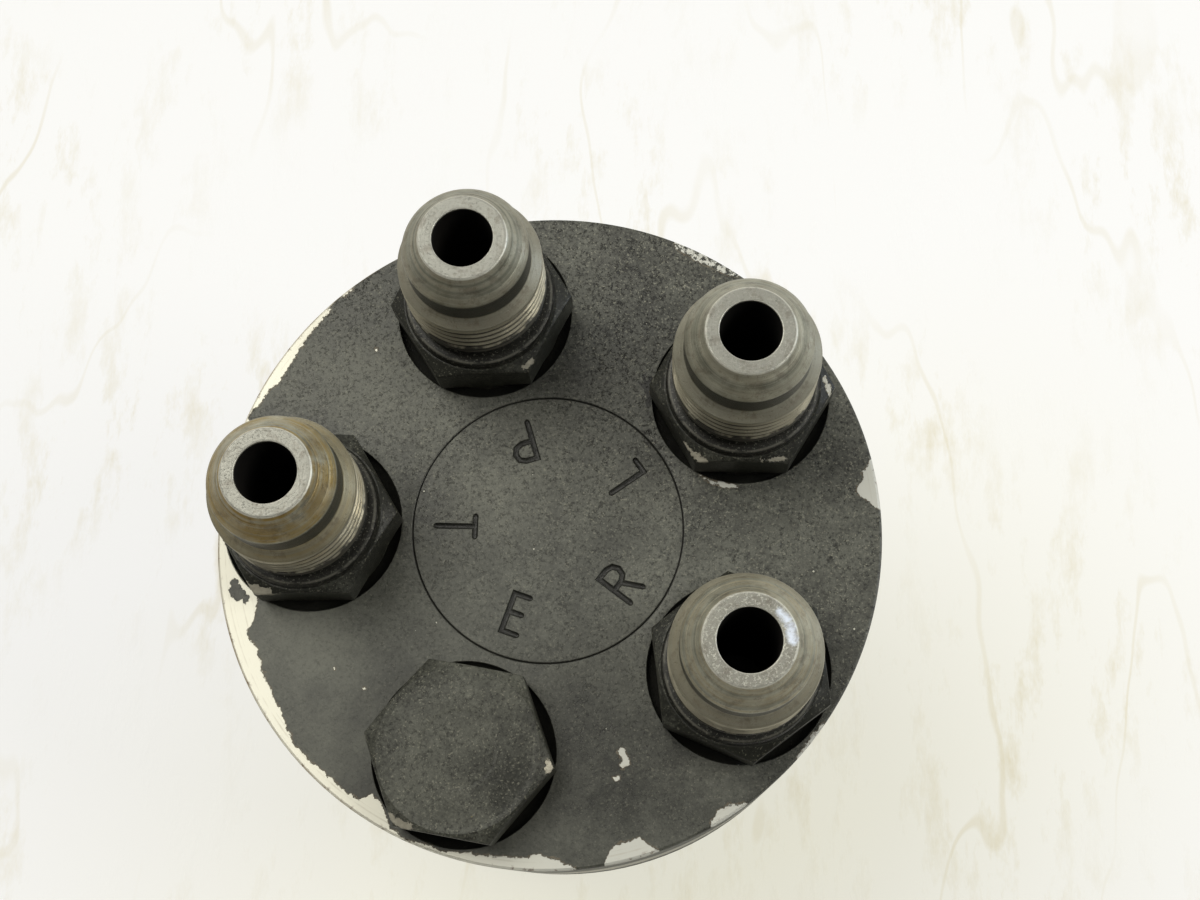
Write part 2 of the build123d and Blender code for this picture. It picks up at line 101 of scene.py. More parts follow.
# a row is a radius and a height, or gives both for an angle
def lathe(name, rows, segments, closed=False, slotOf=None, place=(0, 0, 0), turn=0.0, flatEnds=False):
    verts, faces, slots = [], [], []
    for row in rows:
        for k in range(segments):
            angle = 2 * math.pi * k / segments
            r, z = row(angle) if callable(row) else row
            verts.append((r * math.cos(angle), r * math.sin(angle), z))
    pairs = [(i, i + 1) for i in range(len(rows) - 1)]
    if closed:
        pairs.append((len(rows) - 1, 0))
    for i, j in pairs:
        for k in range(segments):
            n = (k + 1) % segments
            faces.append((i * segments + k, i * segments + n, j * segments + n, j * segments + k))
            slots.append(slotOf(i) if slotOf else 0)
    if flatEnds:
        faces.append(list(range(segments))[::-1])
        last = (len(rows) - 1) * segments
        faces.append(list(range(last, last + segments)))
        slots += [0, 0]
    return cleanMesh(makeObject(name, verts, faces, slots, place, turn))


def applyModifiers(obj):
    graph = bpy.context.evaluated_depsgraph_get()
    mesh = bpy.data.meshes.new_from_object(obj.evaluated_get(graph))
    obj.modifiers.clear()
    obj.data = mesh


def cut(target, cutter):
    modifier = target.modifiers.new("cut", "BOOLEAN")
    modifier.operation = "DIFFERENCE"
    modifier.solver = "EXACT"
    modifier.use_self = True
    modifier.object = cutter
    applyModifiers(target)
    bpy.data.objects.remove(cutter)


def paintWhole(obj, material):
    obj.data.materials.clear()
    obj.data.materials.append(material)


def fill(tree, node, values):
    for key, value in values.items():
        if isinstance(value, bpy.types.NodeSocket):
            tree.links.new(value, node.inputs[key])
        else:
            node.inputs[key].default_value = value


def put(tree, kind, values=None, **settings):
    made = tree.nodes.new(kind)
    for key, value in settings.items():
        setattr(made, key, value)
    fill(tree, made, values or {})
    return made


def calc(tree, operation, *values, clamp=False):
    made = put(tree, "ShaderNodeMath", dict(enumerate(values)), operation=operation, use_clamp=clamp)
    return made.outputs[0]


def product(tree, first, *others):
    for value in others:
        first = calc(tree, "MULTIPLY", first, value)
    return first


def total(tree, first, *others):
    for value in others:
        first = calc(tree, "ADD", first, value)
    return first


def minus(tree, first, second):
    return calc(tree, "SUBTRACT", first, second)


def inverse(tree, value):
    return minus(tree, 1.0, value)


def vectorCalc(tree, operation, *values):
    return put(tree, "ShaderNodeVectorMath", dict(enumerate(values)), operation=operation).outputs


def scaled(tree, vector, factor):
    return put(tree, "ShaderNodeVectorMath", {0: vector, "Scale": factor}, operation="SCALE").outputs[0]


def stretch(tree, value, low, high, toLow=0.0, toHigh=1.0):
    return put(tree, "ShaderNodeMapRange", {0: value, 1: low, 2: high, 3: toLow, 4: toHigh}).outputs[0]


def nearness(tree, value, level, outer, inner):  # 1 near the level, 0 beyond outer
    return stretch(tree, calc(tree, "ABSOLUTE", minus(tree, value, level)), outer, inner)


def blend(tree, factor, first, second):
    return put(tree, "ShaderNodeMix", {0: factor, 6: first, 7: second}, data_type="RGBA").outputs[2]


def layOver(tree, colour, tint, *masks):
    return blend(tree, product(tree, *masks), colour, tint)


def grainNoise(tree, vector, size, detail=4.0, roughness=0.55):
    scale = 1 / size if isinstance(size, float) else calc(tree, "DIVIDE", 1.0, size)
    values = {"Vector": vector, "Scale": scale, "Detail": detail, "Roughness": roughness}
    return put(tree, "ShaderNodeTexNoise", values).outputs["Fac"]


# noise is size in mm, detail and roughness; band is what stretch takes
def speckle(tree, vector, noise, band):
    return stretch(tree, grainNoise(tree, vector, *noise), *band)


def greyRamp(tree, value, stops):
    made = put(tree, "ShaderNodeValToRGB", {0: value})
    elements = made.color_ramp.elements
    while len(elements) > 1:
        elements.remove(elements[-1])
    for k, (place, level) in enumerate(stops):
        element = elements[0] if k == 0 else elements.new(place)
        element.position = place
        element.color = (level, level, level, 1)
    return made.outputs[0]


def startGroup(name, **inputs):  # None stands for a vector
    tree = bpy.data.node_groups.new(name, "ShaderNodeTree")
    for label, value in {"Position": None, **inputs}.items():
        kind = "NodeSocketVector" if value is None else "NodeSocketFloat"
        socket = tree.interface.new_socket(label, in_out="INPUT", socket_type=kind)
        if value is not None:
            socket.default_value = value
    return tree, tree.nodes.new("NodeGroupInput").outputs


def finishGroup(tree, results):
    for label, value in results.items():
        kind = "NodeSocketColor" if value.type == "RGBA" else "NodeSocketFloat"
        tree.interface.new_socket(label, in_out="OUTPUT", socket_type=kind)
    fill(tree, tree.nodes.new("NodeGroupOutput"), results)
    return tree


def useGroup(tree, name, position, **values):
    return put(tree, "ShaderNodeGroup", {"Position": position, **values}, node_tree=groups[name]).outputs


def makePolarGroup():
    tree, given = startGroup("polarPlace")
    x, y, z = put(tree, "ShaderNodeSeparateXYZ", {0: given["Position"]}).outputs
    reach = calc(tree, "SQRT", total(tree, product(tree, x, x), product(tree, y, y)))
    turns = calc(tree, "DIVIDE", calc(tree, "ARCTAN2", y, x), 2 * math.pi)
    turn = calc(tree, "FRACT", total(tree, turns, 1.0))
    return finishGroup(tree, {"Reach": reach, "Turn": turn, "X": x, "Y": y, "Z": z})


grimeLook = {  # noise: size in grain sizes, detail, roughness
    "patchNoise": (5.0, 0.62), "patchBand": (0.34, 0.66), "patchShare": 0.46,
    "middleNoise": (5.0, 4.0, 0.65), "middleBand": (0.3, 0.7), "middleShare": 0.16,
    "clotNoise": (3.2, 6.0, 0.8), "clotBand": (0.465, 0.39),
    "fineNoise": (1.0, 3.0, 0.8), "pitBand": (0.455, 0.345),
    "fleckNoise": (0.6, 1.0, 0.5), "speckBand": (0.62, 0.7),
    "gritBand": (0.35, 0.62, 0.45, 1.0), "haze": 0.03, "grain": 0.32, "gritGrain": 1.3, "rise": 0.2,
}


def makeGrimeGroup():
    look = grimeLook
    tree, given = startGroup("oilyGrime", PatchSize=20.0, GrainSize=0.55, Grit=0.5, Seed=0.0)
    moved = vectorCalc(tree, "ADD", given["Position"], given["Seed"])[0]
    patch = grainNoise(tree, moved, given["PatchSize"], *look["patchNoise"])
    middle, clots, fine, flecks = [
        grainNoise(tree, moved, product(tree, given["GrainSize"], size), detail, roughness)
        for size, detail, roughness in (look[key + "Noise"] for key in ("middle", "clot", "fine", "fleck"))]
    grit = product(tree, given["Grit"], stretch(tree, middle, *look["gritBand"]))
    haze = total(tree, product(tree, stretch(tree, patch, *look["patchBand"]), look["patchShare"]),
                 product(tree, stretch(tree, middle, *look["middleBand"]), look["middleShare"]), look["haze"])
    strength = total(tree, product(tree, grit, look["gritGrain"]), look["grain"])
    grain = product(tree, minus(tree, fine, 0.5), strength)
    pit = product(tree, stretch(tree, fine, *look["pitBand"]), grit)
    return finishGroup(tree, {
        "Haze": calc(tree, "ADD", haze, grain, clamp=True),
        "Speck": product(tree, stretch(tree, flecks, *look["speckBand"]), grit),
        "Pit": pit,
        "Clot": product(tree, stretch(tree, clots, *look["clotBand"]), grit),
        "Height": minus(tree, product(tree, fine, total(tree, grit, look["rise"])), pit),
    })


raggedLook = {"noise": (6.0, 0.7), "reach": 2.6, "bareBand": (0.04, -0.04), "lipOuter": (0.22, 0.1),
              "lipInner": (-0.02, 0.06)}


def makeRaggedGroup():
    tree, given = startGroup("raggedPaintEdge", Distance=1.0, Size=2.2, Depth=0.8)
    noise = grainNoise(tree, given["Position"], given["Size"], *raggedLook["noise"])
    shift = product(tree, minus(tree, noise, 0.5), product(tree, given["Depth"], raggedLook["reach"]))
    level = total(tree, given["Distance"], shift)
    lip = product(tree, *(stretch(tree, level, *raggedLook[key]) for key in ("lipOuter", "lipInner")))
    return finishGroup(tree, {"Bare": stretch(tree, level, *raggedLook["bareBand"]), "Lip": lip})


def makeSpecksGroup():
    tree, given = startGroup("brightSpecks", Spacing=3.0, Size=0.16, Share=0.25)
    density = calc(tree, "DIVIDE", 1.0, given["Spacing"])
    cells = put(tree, "ShaderNodeTexVoronoi", {"Vector": given["Position"], "Scale": density})
    chance, sizes, tone = put(tree, "ShaderNodeSeparateColor", {0: cells.outputs["Color"]}).outputs
    size = calc(tree, "DIVIDE", product(tree, given["Size"], sizes), given["Spacing"])
    near = calc(tree, "LESS_THAN", cells.outputs["Distance"], size)
    picked = calc(tree, "LESS_THAN", chance, given["Share"])
    return finishGroup(tree, {"Mask": product(tree, near, picked), "Tone": tone})


turnedLook = {"lineNoise": (2.0, 0.5), "lineShare": 0.7, "driftNoise": (2.9, 4.0, 0.5), "driftShare": 0.3}


def makeTurnedGroup():
    look = turnedLook
    tree, given = startGroup("turnedLines", LineSize=0.22, Seed=0.0)
    place = useGroup(tree, "polar", given["Position"])
    across = put(tree, "ShaderNodeCombineXYZ", {0: place["Reach"], 1: total(tree, place["Z"], given["Seed"])})
    lines = grainNoise(tree, across.outputs[0], given["LineSize"], *look["lineNoise"])
    drift = grainNoise(tree, given["Position"], *look["driftNoise"])
    tone = total(tree, product(tree, lines, look["lineShare"]), product(tree, drift, look["driftShare"]))
    return finishGroup(tree, {"Tone": tone, "Height": lines})


def makeSpotGroup():
    tree, given = startGroup("nearestSpot", Centre=None, Radius=1.0, Nearest=100.0)
    away = vectorCalc(tree, "DISTANCE", given["Position"], given["Centre"])["Value"]
    away = minus(tree, away, given["Radius"])
    return finishGroup(tree, {"Distance": calc(tree, "MINIMUM", given["Nearest"], away)})


def makeStrokeGroup():
    tree, given = startGroup("nearestStroke", Start=None, Span=None, Radius=1.0, Nearest=100.0)
    away = vectorCalc(tree, "SUBTRACT", given["Position"], given["Start"])[0]
    reached = vectorCalc(tree, "DOT_PRODUCT", away, given["Span"])["Value"]
    whole = vectorCalc(tree, "DOT_PRODUCT", given["Span"], given["Span"])["Value"]
    share = calc(tree, "DIVIDE", reached, whole, clamp=True)
    gap = vectorCalc(tree, "DISTANCE", away, scaled(tree, given["Span"], share))["Value"]
    gap = minus(tree, gap, given["Radius"])
    return finishGroup(tree, {"Distance": calc(tree, "MINIMUM", given["Nearest"], gap)})


paint = {
    "dark": (0.024, 0.0245, 0.0195, 1), "haze": (0.19, 0.193, 0.16, 1), "roughness": (0.36, 0.56),
    "grains": [("Clot", (0.016, 0.0158, 0.0125, 1), 0.6), ("Speck", (0.25, 0.245, 0.19, 1), 0.85),
               ("Pit", (0.007, 0.007, 0.006, 1), 0.8)],
    "paleDot": (0.55, 0.54, 0.46, 1), "yellowDot": (0.5, 0.33, 0.03, 1), "yellowAbove": 0.45,
}


def makeBlackPaintGroup():
    tree, given = startGroup("oldBlackPaint", Seed=0.0, Grit=0.5, Specks=0.3, Dull=0.0)
    grime = useGroup(tree, "grime", given["Position"], Seed=given["Seed"], Grit=given["Grit"])
    dots = useGroup(tree, "specks", given["Position"], Share=given["Specks"])
    haze = calc(tree, "ADD", grime["Haze"], given["Dull"], clamp=True)
    colour = blend(tree, haze, paint["dark"], paint["haze"])
    for layer, tint, share in paint["grains"]:
        colour = layOver(tree, colour, tint, grime[layer], share)
    yellow = calc(tree, "GREATER_THAN", dots["Tone"], paint["yellowAbove"])
    dotColour = blend(tree, yellow, paint["paleDot"], paint["yellowDot"])
    colour = layOver(tree, colour, dotColour, dots["Mask"])
    rough = stretch(tree, haze, 0, 1, *paint["roughness"])
    return finishGroup(tree, {"Colour": colour, "Roughness": rough, "Height": grime["Height"]})


groups = {}
for key, makeGroup in (("polar", makePolarGroup), ("grime", makeGrimeGroup), ("ragged", makeRaggedGroup),
                       ("specks", makeSpecksGroup), ("turned", makeTurnedGroup), ("spot", makeSpotGroup),
                       ("stroke", makeStrokeGroup), ("blackPaint", makeBlackPaintGroup)):
    groups[key] = makeGroup()
print("shader groups made")


def startMaterial(name):
    material = bpy.data.materials.new(name)
    material.use_nodes = True
    tree = material.node_tree
    place = put(tree, "ShaderNodeTexCoord").outputs["Object"]
    return material, tree, tree.nodes["Principled BSDF"], scaled(tree, place, 1 / mm)


def addBump(tree, shader, height, depth):
    bump = put(tree, "ShaderNodeBump", {"Height": height, "Distance": depth * mm})
    tree.links.new(bump.outputs[0], shader.inputs["Normal"])


def raggedEdge(tree, position, distance, size, depth):
    return useGroup(tree, "ragged", position, Distance=distance, Size=size, Depth=depth)


# spot: point, radius; stroke: two points, radius; without heights they are on the port face
def spotDistance(tree, position, spots):
    nearest = 100.0
    for *numbers, radius in spots:
        size = 3 if len(numbers) in (3, 6) else 2
        points = [Vector((*numbers[k:k + size], portFace)[:3]) for k in range(0, len(numbers), size)]
        kind, values = "spot", {"Centre": points[0]}
        if len(points) == 2:
            kind, values = "stroke", {"Start": points[0], "Span": points[1] - points[0]}
        nearest = useGroup(tree, kind, position, Radius=radius, Nearest=nearest, **values)[0]
    return nearest


coverLook = {  # mm and degrees; chips: angle, width; toneShiftPlaces: x, y, radius, gain (lighter where positive, darker where negative)
    # bareLitCream is painted light: bare metal is drawn pale cream on the left, where light falls, and silver on
    # the right
    "bareLitCream": (0.87, 0.85, 0.73, 1), "bareSilver": (0.60, 0.60, 0.545, 1), "litSideSpan": (6.0, -20.0),
    "bareLines": (0.40, 0.35, 0.27, 1), "lineBand": (0.44, 0.34, 0.0, 0.4), "lineSize": 0.5,
    "rust": (0.13, 0.07, 0.045, 1), "rustNoise": ((1.4, 4.0, 0.75), (0.56, 0.62)), "rustReach": (0.8, 0.15),
    "lip": (0.20, 0.15, 0.09, 1), "brown": (0.26, 0.16, 0.07, 1), "brownSide": (-20.0, -40.0),
    "brownNoise": ((5.0,), (0.4, 0.6, 0.15, 0.8)), "brownBand": (0.1, 0.22, 0.08),
    # recessDirtAndShade: near-black painted shade with dirt for recesses, starting recessShadeDepth below the port
    # face
    "recessDirtAndShade": (0.006, 0.006, 0.005, 1), "recessShadeDepth": (0.06, 0.28), "rimWidth": 1.2,
    "gouge": (0.008, 0.008, 0.007, 1), "gougeEdge": (0.9, 0.5), "rimEdge": (1.9, 1.0), "islandEdge": (1.2, 0.7),
    "gritLean": (0.55, 0.7), "gritBand": (-38.0, 30.0, 0.2, 1.05), "specks": 0.4,
    "crumbs": ((1.0, 4.0, 0.75), (0.46, 0.5)),
    "chipRamp": 8.0,  # width that a full ramp value stands for
    "chipCloses": (0.0, 0.35, 1.2, 0.0),
    "chipsFront": [(0, 0), (4.6, 0.2), (7, 3.1), (8.5, 3.5), (10, 2.3), (12, 1.6), (13.3, 0), (54, 0),
                   (55.5, 0.5), (58, 1.4), (63, 1.6), (67, 1.4), (69, 0), (130, 0), (131, 0.8), (133.4, 0.2),
                   (137, 0.8), (142, 1.4), (147, 2.0), (151.5, 2.3), (157, 1.1), (160, 0.5), (180, 0.6)],
    "chipsBack": [(180, 0.6), (184, 1.0), (188, 5.6), (197, 5.4), (201, 2.8), (206, 3.7), (209, 2.9),
                  (215, 2.8), (222, 1.4), (228, 1.7), (238, 1.8), (239.3, 4.2), (243, 2.1), (245, 0.5),
                  (254, 0.7), (259, 1.45), (267, 1.85), (270, 2.4), (274, 1.65), (277.5, 0), (281.8, 0),
                  (283, 2.8), (288.3, 2.8), (290.7, 0), (300, 0), (302, 2.0), (305, 1.4), (307.4, 0),
                  (316, 0.1), (323, 0.7), (328, 0)],
    "bareSpots": [(12.7, -34.9, 13.5, -36.5, 0.55), (13.5, -36.5, 12.8, -37.0, 0.5), (12.0, -39.0, 0.45),
                  (-32.6, -23.2, 0.3), (-27.7, -26.1, 0.25), (-29.4, 29.4, 0.33),
                  (24.2, 9.0, 26.2, 8.0, 0.32), (26.2, 8.0, 29.7, 7.4, 0.42)],
    "spotInset": 0.1,
    "leftIsland": [(-49.6, -10.0, 0.7), (-49.3, -11.0, 1.05), (-48.6, -11.9, 1.0), (-47.6, -12.4, 0.6)],
    "mottledPlace": (24.6, 46.0, 9.0),
    "gouges": [(15.8, 25.3, 15.6, 20.8, 0.45), (14.9, 25.8, 15.2, 22.8, 0.25), (15.3, 23.3, 14.0, 24.6, 0.28)],
    "toneShiftPlaces": [(44, 2, 10, 0.22), (-32, 27, 16, 0.3), (-35, -19, 13, 0.2), (-11, 6, 9, 0.2),
                   (-6, 9, 6, 0.12), (2, -1, 9, 0.02), (26, 3, 8, -0.3), (10, 38, 14, -0.03),
                   (-18, 17, 6, 0.2), (-14, -30, 9, -0.1), (13, -36, 16, -0.3), (38, -8, 8, -0.06),
                   (-44, 8, 8, 0.15), (-11, -18, 5, 0.1)],
    "bareMetal": 0.2, "bareRoughness": 0.45, "specular": 0.4, "paintRise": 0.45, "bump": 0.1,
}


def rimChips(tree, position, place):
    look = coverLook
    front, back = [greyRamp(tree, place["Turn"], [(angle / 360, width / look["chipRamp"])
                                                  for angle, width in look[key]])
                   for key in ("chipsFront", "chipsBack")]
    onBack = calc(tree, "GREATER_THAN", place["Turn"], 0.5)
    width = total(tree, product(tree, front, inverse(tree, onBack)), product(tree, back, onBack))
    width = product(tree, width, look["chipRamp"])
    inward = calc(tree, "MAXIMUM", minus(tree, bodyRadius, place["Reach"]), minus(tree, portFace, place["Z"]))
    gap = total(tree, minus(tree, inward, width), stretch(tree, width, *look["chipCloses"]))
    spots = total(tree, spotDistance(tree, position, look["bareSpots"]), look["spotInset"])
    return calc(tree, "MINIMUM", gap, spots), inward


# round patches where the paint is made lighter (positive gain) or darker (negative gain)
def toneShiftPatches(tree, position):
    return total(tree, *(stretch(tree, spotDistance(tree, position, [(x, y, 0.0)]), radius, 0.0, 0.0, gain)
                         for x, y, radius, gain in coverLook["toneShiftPlaces"]))


def makeCoverPaint():
    look = coverLook
    material, tree, shader, position = startMaterial("portPaint")
    place = useGroup(tree, "polar", position)
    side = total(tree, *(product(tree, place[axis], share) for axis, share in zip("XY", look["gritLean"])))
    old = useGroup(tree, "blackPaint", position, Grit=stretch(tree, side, *look["gritBand"]),
                   Specks=look["specks"], Dull=toneShiftPatches(tree, position))
    # painted shade with dirt: every recess below the port face (groove, marks, spotfaces, ports) is darkened to
    # near black
    recessDirtAndShade = product(tree, stretch(tree, place["Z"], *(portFace - depth for depth in look["recessShadeDepth"])),
                   calc(tree, "LESS_THAN", place["Reach"], bodyRadius - look["rimWidth"]))
    colour = layOver(tree, old["Colour"], look["recessDirtAndShade"], recessDirtAndShade, 0.9)
    gouge = raggedEdge(tree, position, spotDistance(tree, position, look["gouges"]), *look["gougeEdge"])
    colour = layOver(tree, colour, look["gouge"], gouge["Bare"], 0.85)
    gap, inward = rimChips(tree, position, place)
    edge = raggedEdge(tree, position, gap, *look["rimEdge"])
    island = raggedEdge(tree, position, spotDistance(tree, position, look["leftIsland"]), *look["islandEdge"])
    mottled = calc(tree, "LESS_THAN", spotDistance(tree, position, [look["mottledPlace"]]), 0.0)
    kept = calc(tree, "MAXIMUM", inverse(tree, mottled), speckle(tree, position, *look["crumbs"]))
    bareMask = product(tree, edge["Bare"], kept, inverse(tree, island["Bare"]), inverse(tree, recessDirtAndShade))
    turned = useGroup(tree, "turned", position, LineSize=look["lineSize"])
    # painted light: bare metal is pale cream on the left side (low X) and silver towards the right
    bare = blend(tree, stretch(tree, place["X"], *look["litSideSpan"]), look["bareSilver"], look["bareLitCream"])
    bare = blend(tree, stretch(tree, turned["Tone"], *look["lineBand"]), bare, look["bareLines"])
    bare = layOver(tree, bare, look["rust"], speckle(tree, position, *look["rustNoise"]),
                   stretch(tree, inward, *look["rustReach"]), 0.75)
    colour = layOver(tree, colour, look["lip"], edge["Lip"], 0.5)
    colour = layOver(tree, colour, bare, bareMask)
    colour = layOver(tree, colour, look["brown"], nearness(tree, inward, *look["brownBand"]),
                     stretch(tree, place["X"], *look["brownSide"]), speckle(tree, position, *look["brownNoise"]))
    painted = inverse(tree, bareMask)
    rough = total(tree, product(tree, old["Roughness"], painted),
                  product(tree, bareMask, look["bareRoughness"]))
    metallic = product(tree, bareMask, look["bareMetal"])
    fill(tree, shader, {"Base Color": colour, "Metallic": metallic, "Roughness": rough,
                        "Specular IOR Level": look["specular"]})
    level = product(tree, painted, total(tree, 1.0, product(tree, old["Height"], look["paintRise"])))
    addBump(tree, shader, level, look["bump"])
    return material


hexWear = {  # worn corners of each hexagon: start, end and radius in mm
    "l": [(-8.9, -9.8, 7.3, -6.9, -12.0, 7.2, 0.3), (-6.9, -12.0, 7.2, -5.9, -12.6, 7.0, 0.55),
          (3.0, -12.15, 7.55, 5.0, -12.3, 7.5, 0.18), (5.0, -12.3, 7.5, 6.8, -12.0, 7.4, 0.26),
          (12.9, 0.8, 7.4, 13.5, -1.2, 6.8, 0.6), (13.5, -1.2, 6.8, 13.1, -2.3, 6.6, 0.4)],
    "t": [(-9.4, -10.4, 7.0, -7.4, -11.9, 6.95, 0.4), (-7.4, -11.9, 6.95, -4.8, -12.5, 7.1, 0.8),
          (-4.8, -12.5, 7.1, -3.4, -12.9, 7.0, 0.45)],
    "p": [(6.9, -11.7, 7.2, 7.9, -11.0, 7.3, 0.38)],
    "plug": [(7.3, -11.6, 7.2, 6.6, -12.4, 7.0, 0.55), (-13.8, 1.2, 6.9, -13.0, -2.1, 7.2, 0.7)],
    "r": [(12.6, -5.0, 7.2, 12.9, -3.4, 7.2, 0.42)],
}
hexLook = {
    # collar: painted shade, darker than the black paint, for the collar and relief above the hexagon
    "collar": (0.012, 0.0118, 0.01, 1), "collarEdge": (0.05, 0.2),
    "crumb": (0.26, 0.255, 0.21, 1), "crumbNoise": ((0.42, 3.0, 0.85), (0.57, 0.66)),
    # collarEdgeHighlight is a painted highlight along the collar's top edge
    "collarEdgeHighlight": (0.28, 0.27, 0.22, 1), "collarHighlightNoise": ((2.5,), (0.38, 0.55)), "collarHighlightBand": (0.13, 0.03),
    "bareDark": (0.26, 0.24, 0.19, 1), "bareLight": (0.58, 0.55, 0.45, 1), "bareGrain": 0.8,
    "wornEdge": (1.1, 0.9), "grit": 0.7, "specks": 0.15, "dullPlug": -0.1, "dullHex": -0.3,
    "bareMetal": 0.3, "specular": 0.25, "paintRise": 0.5, "bump": 0.06,
}


def makeHexPaint(name, seed):
    look = hexLook
    material, tree, shader, position = startMaterial("hexPaint_" + name)
    dull = look["dullPlug"] if name == "plug" else look["dullHex"]
    old = useGroup(tree, "blackPaint", position, Seed=seed, Grit=look["grit"], Specks=look["specks"], Dull=dull)
    colour = old["Colour"]
    if name != "plug":
        z = useGroup(tree, "polar", position)["Z"]
        # painted shade: the collar and the relief above the hexagon are darkened to near black; the crumbs laid
        # next are dust
        aboveHex = stretch(tree, z, *(adapter["hexHigh"] + rise for rise in look["collarEdge"]))
        colour = layOver(tree, colour, look["collar"], aboveHex, 0.85)
        colour = layOver(tree, colour, look["crumb"], speckle(tree, position, *look["crumbNoise"]), aboveHex, 0.65)
        # painted highlight: a light line along the collar's top edge
        collarEdgeHighlight = nearness(tree, z, adapter["collarHigh"] - 0.12, *look["collarHighlightBand"])
        colour = layOver(tree, colour, look["collarEdgeHighlight"], collarEdgeHighlight, speckle(tree, position, *look["collarHighlightNoise"]), 0.4)
    edge = raggedEdge(tree, position, spotDistance(tree, position, hexWear[name]), *look["wornEdge"])
    bare = blend(tree, grainNoise(tree, position, look["bareGrain"]), look["bareDark"], look["bareLight"])
    colour = layOver(tree, colour, bare, edge["Bare"])
    metallic = product(tree, edge["Bare"], look["bareMetal"])
    fill(tree, shader, {"Base Color": colour, "Metallic": metallic, "Roughness": old["Roughness"],
                        "Specular IOR Level": look["specular"]})
    level = total(tree, product(tree, old["Height"], look["paintRise"]), inverse(tree, edge["Bare"]))
    addBump(tree, shader, level, look["bump"])
    return material


steelTints = {
    "p": {"shine": 0.93, "tint": (0.25, 0.205, 0.14, 1), "stain": 0.4, "amber": 0.05, "seed": 3.0,
          "pitted": 0.3, "crumb": 0.15, "flat": (0.15, 0.153, 0.136, 1)},
    "l": {"shine": 1.15, "tint": (0.24, 0.205, 0.15, 1), "stain": 0.4, "amber": 0.1, "seed": 11.0,
          "pitted": 0.6, "crumb": 0.25, "flat": (0.125, 0.127, 0.11, 1)},
    "r": {"shine": 1.2, "tint": (0.30, 0.225, 0.11, 1), "stain": 0.5, "amber": 0.2, "seed": 19.0,
          "pitted": 1.0, "crumb": 0.7, "flat": (0.12, 0.118, 0.098, 1),
          # glintStrokes: where a painted reflection, a bluish-white highlight, lies on R's flat
          "glintStrokes": [(4.6, -3.5, 33.0, 5.5, -1.8, 33.0, 0.75), (5.7, -0.9, 33.0, 5.5, 0.6, 33.0, 0.6)]},
    "t": {"shine": 1.25, "tint": (0.34, 0.245, 0.08, 1), "stain": 0.9, "amber": 0.8, "seed": 29.0,
          "pitted": 0.35, "crumb": 0.15, "flat": (0.155, 0.155, 0.134, 1)},
}
flareLook = {  # mm, heights above the port face
    # shadeAndGrime: near-black painted shade for the nose wall and, with grime, for the thread roots
    "dark": (0.14, 0.142, 0.108, 1), "light": (0.52, 0.515, 0.42, 1), "shadeAndGrime": (0.035, 0.035, 0.029, 1),
    "fineLines": 0.14, "fineBand": (0.3, 0.7), "fineShare": 0.38,
    "wideLines": 0.8, "wideBand": (0.36, 0.64), "wideShare": 0.62,
    "stainLines": (0.45, 0.6), "stainNoise": ((7.0, 3.0), (0.36, 0.56)),
    "amber": (0.25, 0.155, 0.02, 1), "amberHeight": (27.5, 31.5), "amberNoise": ((5.0, 3.0, 0.5), (0.38, 0.54)),
    "amberLines": (0.36, 0.52, 0.35, 1.0), "amberLean": 0.7, "amberSide": (-6.0, 4.0, 0.25, 1.0),
    "thread": (0.56, 0.51, 0.38, 1), "rootShadeReach": (10.92, 10.76), "chamfer": (0.38, 0.365, 0.29, 1),
    "wallLow": 24.6, "wallHigh": 28.7, "flatHeight": 32.9, "paintLine": 15.4, "paintWander": 3.0,
    "crumb": (0.58, 0.57, 0.5, 1), "crumbNoise": ((0.5, 3.0, 0.75), (0.52, 0.6)),
    "flatPit": (0.09, 0.088, 0.075, 1), "pit": (0.05, 0.045, 0.035, 1), "rimWearAndHighlight": (0.8, 0.79, 0.7, 1),
    "paint": (0.014, 0.014, 0.012, 1), "smear": (0.10, 0.075, 0.05, 1),
    "smearNoise": ((2.2, 5.0, 0.7), (0.54, 0.64)), "glintTint": (0.80, 0.87, 1.0, 1),
    "patchSize": 6.0, "grainSize": 0.4, "grit": 0.8,
    "roughness": (0.36, 0.5), "metal": 0.5, "pitRise": 0.8, "bump": 0.03,
}


def flareBase(tree, position, place, wideLines, fineLines, values):
    look = flareLook
    tone = total(tree, product(tree, stretch(tree, wideLines["Tone"], *look["wideBand"]), look["wideShare"]),
                 product(tree, stretch(tree, fineLines["Tone"], *look["fineBand"]), look["fineShare"]))
    colour = blend(tree, tone, look["dark"], [c * values["shine"] for c in look["light"][:3]] + [1])
    colour = layOver(tree, colour, values["tint"], stretch(tree, wideLines["Height"], *look["stainLines"]),
                     speckle(tree, position, *look["stainNoise"]), values["stain"])
    lean = minus(tree, product(tree, place["X"], look["amberLean"]), place["Y"])
    return layOver(tree, colour, look["amber"], stretch(tree, place["Z"], *look["amberHeight"]),
                   speckle(tree, position, *look["amberNoise"]),
                   stretch(tree, wideLines["Height"], *look["amberLines"]),
                   stretch(tree, lean, *look["amberSide"]), values["amber"])


